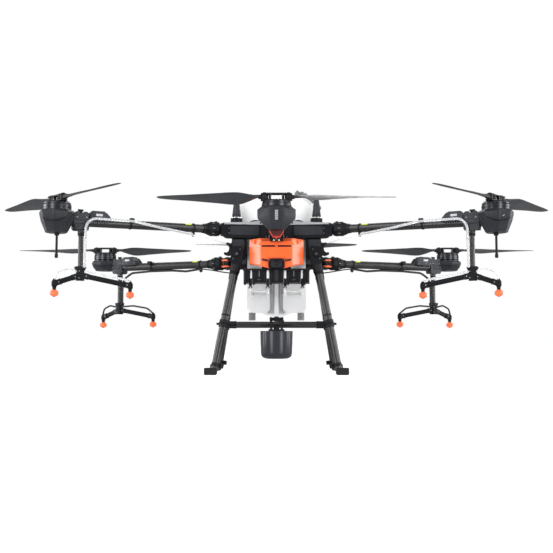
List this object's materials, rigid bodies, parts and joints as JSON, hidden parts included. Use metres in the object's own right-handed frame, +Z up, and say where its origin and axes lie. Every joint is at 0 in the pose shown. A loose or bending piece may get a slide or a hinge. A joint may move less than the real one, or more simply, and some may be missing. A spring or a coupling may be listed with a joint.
{
  "type": "agricultural spray drone",
  "caption": "Folding multirotor crop sprayer with a translucent tank, drop lances with nozzles, an orange nose cover and splayed landing legs.",
  "frame": {"origin": "on the ground, under the middle of the airframe", "axes": "+Z up, nose towards -Y, the aircraft's left side at +X"},
  "size_m": [2.509, 1.5024, 0.7873],
  "materials": {
    "carbon_blade": "satin",
    "motor_black": "anodised",
    "pod_black": "moulded",
    "carbon_tube": "woven carbon",
    "lance_black": "moulded",
    "nozzle_orange": "moulded",
    "collar_black": "ribbed",
    "hose_white": "silicone",
    "hose_black": "smooth",
    "frame_black": "moulded",
    "shell_orange": "satin paint",
    "camera_black": "gloss",
    "pump_black": "moulded",
    "tank_white": "translucent",
    "lid_grey": "moulded",
    "battery_grey": "moulded",
    "antenna_black": "moulded",
    "leg_carbon": "woven carbon",
    "foot_rubber": "moulded",
    "radar_black": "moulded"
  },
  "bodies": {
    "airframe": {"front_beam": "frame_black", "rear_beam": "frame_black", "side_frames": "frame_black", "front_shell": "shell_orange", "fpv_camera": "camera_black", "pump_bank": "pump_black", "spray_tank": "tank_white", "rtk_antennas": "antenna_black", "landing_legs": "leg_carbon", "leg_feet": "foot_rubber", "cross_tubes": "leg_carbon", "radar": "radar_black"},
    "tank_lid": {"tank_lid": "lid_grey"},
    "battery": {"battery": "battery_grey"},
    "arm_front_left": {"arm_front_left": "carbon_tube", "motor_mount_front_left": "pod_black", "lance_front_left": "lance_black", "nozzles_front_left": "nozzle_orange", "arm_hose_front_left": "hose_white"},
    "arm_lock_front_left": {"arm_lock_front_left": "collar_black"},
    "rotor_front_left": {"rotor_hub_front_left": "motor_black"},
    "blade_front_left_a": {"blade_front_left_a": "carbon_blade"},
    "blade_front_left_b": {"blade_front_left_b": "carbon_blade"},
    "arm_front_right": {"arm_front_right": "carbon_tube", "motor_mount_front_right": "pod_black", "lance_front_right": "lance_black", "nozzles_front_right": "nozzle_orange", "arm_hose_front_right": "hose_white"},
    "arm_lock_front_right": {"arm_lock_front_right": "collar_black"},
    "rotor_front_right": {"rotor_hub_front_right": "motor_black"},
    "blade_front_right_a": {"blade_front_right_a": "carbon_blade"},
    "blade_front_right_b": {"blade_front_right_b": "carbon_blade"},
    "arm_rear_left": {"arm_rear_left": "carbon_tube", "motor_mount_rear_left": "pod_black", "lance_rear_left": "lance_black", "nozzles_rear_left": "nozzle_orange", "arm_hose_rear_left": "hose_black"},
    "arm_lock_rear_left": {"arm_lock_rear_left": "collar_black"},
    "rotor_rear_left": {"rotor_hub_rear_left": "motor_black"},
    "blade_rear_left_a": {"blade_rear_left_a": "carbon_blade"},
    "blade_rear_left_b": {"blade_rear_left_b": "carbon_blade"},
    "arm_rear_right": {"arm_rear_right": "carbon_tube", "motor_mount_rear_right": "pod_black", "lance_rear_right": "lance_black", "nozzles_rear_right": "nozzle_orange", "arm_hose_rear_right": "hose_black"},
    "arm_lock_rear_right": {"arm_lock_rear_right": "collar_black"},
    "rotor_rear_right": {"rotor_hub_rear_right": "motor_black"},
    "blade_rear_right_a": {"blade_rear_right_a": "carbon_blade"},
    "blade_rear_right_b": {"blade_rear_right_b": "carbon_blade"},
    "arm_nose": {"arm_nose": "carbon_tube", "motor_mount_nose": "pod_black"},
    "rotor_nose": {"rotor_hub_nose": "motor_black"},
    "blade_nose_a": {"blade_nose_a": "carbon_blade"},
    "blade_nose_b": {"blade_nose_b": "carbon_blade"},
    "arm_tail": {"arm_tail": "carbon_tube", "motor_mount_tail": "pod_black"},
    "rotor_tail": {"rotor_hub_tail": "motor_black"},
    "blade_tail_a": {"blade_tail_a": "carbon_blade"},
    "blade_tail_b": {"blade_tail_b": "carbon_blade"}
  },
  "joints": [
    {"name": "fold_front_left", "type": "hinge", "parent": "airframe", "child": "arm_front_left", "pos_m": [0.22, -0.1145, 0.59], "axis": [0, 0, 1], "range_deg": [0, 60]},
    {"name": "lock_front_left", "type": "slide", "parent": "arm_front_left", "child": "arm_lock_front_left", "axis": [0.8875, -0.4607, 0], "range_m": [0, 0.028]},
    {"name": "spin_front_left", "type": "hinge", "parent": "arm_front_left", "child": "rotor_front_left", "pos_m": [0.8355, -0.434, 0.676], "axis": [0, 0, 1], "continuous": true},
    {"name": "blade_fold_front_left_a", "type": "hinge", "parent": "rotor_front_left", "child": "blade_front_left_a", "pos_m": [0.8058, -0.4637, 0.676], "axis": [0, 0, -1], "range_deg": [0, 85]},
    {"name": "blade_fold_front_left_b", "type": "hinge", "parent": "rotor_front_left", "child": "blade_front_left_b", "pos_m": [0.8652, -0.4043, 0.676], "axis": [0, 0, 1], "range_deg": [0, 85]},
    {"name": "fold_front_right", "type": "hinge", "parent": "airframe", "child": "arm_front_right", "pos_m": [-0.22, -0.1145, 0.59], "axis": [0, 0, -1], "range_deg": [0, 60]},
    {"name": "lock_front_right", "type": "slide", "parent": "arm_front_right", "child": "arm_lock_front_right", "axis": [-0.8875, -0.4607, 0], "range_m": [0, 0.028]},
    {"name": "spin_front_right", "type": "hinge", "parent": "arm_front_right", "child": "rotor_front_right", "pos_m": [-0.8355, -0.434, 0.676], "axis": [0, 0, 1], "continuous": true},
    {"name": "blade_fold_front_right_a", "type": "hinge", "parent": "rotor_front_right", "child": "blade_front_right_a", "pos_m": [-0.8058, -0.4637, 0.676], "axis": [0, 0, 1], "range_deg": [0, 85]},
    {"name": "blade_fold_front_right_b", "type": "hinge", "parent": "rotor_front_right", "child": "blade_front_right_b", "pos_m": [-0.8652, -0.4043, 0.676], "axis": [0, 0, -1], "range_deg": [0, 85]},
    {"name": "fold_rear_left", "type": "hinge", "parent": "airframe", "child": "arm_rear_left", "pos_m": [0.22, 0.1145, 0.488], "axis": [0, 0, 1], "range_deg": [-30, 0]},
    {"name": "lock_rear_left", "type": "slide", "parent": "arm_rear_left", "child": "arm_lock_rear_left", "axis": [0.8875, 0.4607, 0], "range_m": [0, 0.028]},
    {"name": "spin_rear_left", "type": "hinge", "parent": "arm_rear_left", "child": "rotor_rear_left", "pos_m": [0.8355, 0.434, 0.574], "axis": [0, 0, 1], "continuous": true},
    {"name": "blade_fold_rear_left_a", "type": "hinge", "parent": "rotor_rear_left", "child": "blade_rear_left_a", "pos_m": [0.8775, 0.434, 0.574], "axis": [0, 0, -1], "range_deg": [0, 85]},
    {"name": "blade_fold_rear_left_b", "type": "hinge", "parent": "rotor_rear_left", "child": "blade_rear_left_b", "pos_m": [0.7935, 0.434, 0.574], "axis": [0, 0, 1], "range_deg": [0, 85]},
    {"name": "fold_rear_right", "type": "hinge", "parent": "airframe", "child": "arm_rear_right", "pos_m": [-0.22, 0.1145, 0.488], "axis": [0, 0, -1], "range_deg": [-30, 0]},
    {"name": "lock_rear_right", "type": "slide", "parent": "arm_rear_right", "child": "arm_lock_rear_right", "axis": [-0.8875, 0.4607, 0], "range_m": [0, 0.028]},
    {"name": "spin_rear_right", "type": "hinge", "parent": "arm_rear_right", "child": "rotor_rear_right", "pos_m": [-0.8355, 0.434, 0.574], "axis": [0, 0, 1], "continuous": true},
    {"name": "blade_fold_rear_right_a", "type": "hinge", "parent": "rotor_rear_right", "child": "blade_rear_right_a", "pos_m": [-0.7935, 0.434, 0.574], "axis": [0, 0, -1], "range_deg": [0, 85]},
    {"name": "blade_fold_rear_right_b", "type": "hinge", "parent": "rotor_rear_right", "child": "blade_rear_right_b", "pos_m": [-0.8775, 0.434, 0.574], "axis": [0, 0, 1], "range_deg": [0, 85]},
    {"name": "fold_nose", "type": "hinge", "parent": "airframe", "child": "arm_nose", "pos_m": [0, -0.285, 0.549], "axis": [1, 0, 0], "range_deg": [0, 78]},
    {"name": "spin_nose", "type": "hinge", "parent": "arm_nose", "child": "rotor_nose", "pos_m": [0, -0.6875, 0.635], "axis": [0, 0, 1], "continuous": true},
    {"name": "blade_fold_nose_a", "type": "hinge", "parent": "rotor_nose", "child": "blade_nose_a", "pos_m": [0.042, -0.6875, 0.635], "axis": [0, 0, 1], "range_deg": [0, 85]},
    {"name": "blade_fold_nose_b", "type": "hinge", "parent": "rotor_nose", "child": "blade_nose_b", "pos_m": [-0.042, -0.6875, 0.635], "axis": [0, 0, -1], "range_deg": [0, 85]},
    {"name": "fold_tail", "type": "hinge", "parent": "airframe", "child": "arm_tail", "pos_m": [0, 0.285, 0.549], "axis": [-1, 0, 0], "range_deg": [0, 78]},
    {"name": "spin_tail", "type": "hinge", "parent": "arm_tail", "child": "rotor_tail", "pos_m": [0, 0.6875, 0.635], "axis": [0, 0, 1], "continuous": true},
    {"name": "blade_fold_tail_a", "type": "hinge", "parent": "rotor_tail", "child": "blade_tail_a", "pos_m": [0.042, 0.6875, 0.635], "axis": [0, 0, -1], "range_deg": [0, 85]},
    {"name": "blade_fold_tail_b", "type": "hinge", "parent": "rotor_tail", "child": "blade_tail_b", "pos_m": [-0.042, 0.6875, 0.635], "axis": [0, 0, 1], "range_deg": [0, 85]},
    {"name": "tank_lid_hinge", "type": "hinge", "parent": "airframe", "child": "tank_lid", "pos_m": [0.09055, 0, 0.78128], "axis": [0, -1, 0], "range_deg": [0, 105]},
    {"name": "battery_slide", "type": "slide", "parent": "airframe", "child": "battery", "axis": [0, 0, 1], "range_m": [0, 0.15]}
  ]
}
